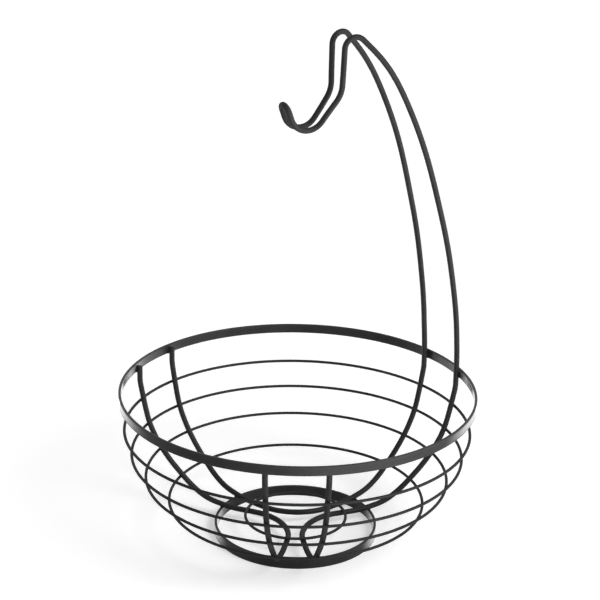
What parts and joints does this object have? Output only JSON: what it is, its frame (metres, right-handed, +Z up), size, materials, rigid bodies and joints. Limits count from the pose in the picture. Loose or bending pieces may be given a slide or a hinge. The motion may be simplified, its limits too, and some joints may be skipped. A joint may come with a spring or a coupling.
{
  "type": "wire fruit bowl with banana hanger",
  "caption": "Round open fruit bowl of black coated steel wire, with a fixed double-wire hanger rising from its rim to a hook for bananas",
  "frame": {"origin": "centre of the base band on the table, under the bowl's axis", "axes": "+Z up along the bowl's axis, +Y towards the hanger's mast, so the plane X = 0 mirrors the part onto itself"},
  "size_m": [0.278, 0.278, 0.4018],
  "materials": {
    "rim_band_coat": "satin",
    "hoop_1_coat": "satin",
    "hoop_2_coat": "satin",
    "hoop_3_coat": "satin",
    "hoop_4_coat": "satin",
    "base_band_coat": "satin",
    "floor_ring_coat": "satin",
    "front_rib_wire_coat": "satin",
    "hanger_wire_coat": "satin"
  },
  "bodies": {
    "root": {"rim_band": "rim_band_coat", "hoop_1": "hoop_1_coat", "hoop_2": "hoop_2_coat", "hoop_3": "hoop_3_coat", "hoop_4": "hoop_4_coat", "base_band": "base_band_coat", "floor_ring": "floor_ring_coat", "front_rib_wire": "front_rib_wire_coat", "hanger_wire": "hanger_wire_coat"}
  },
  "joints": []
}
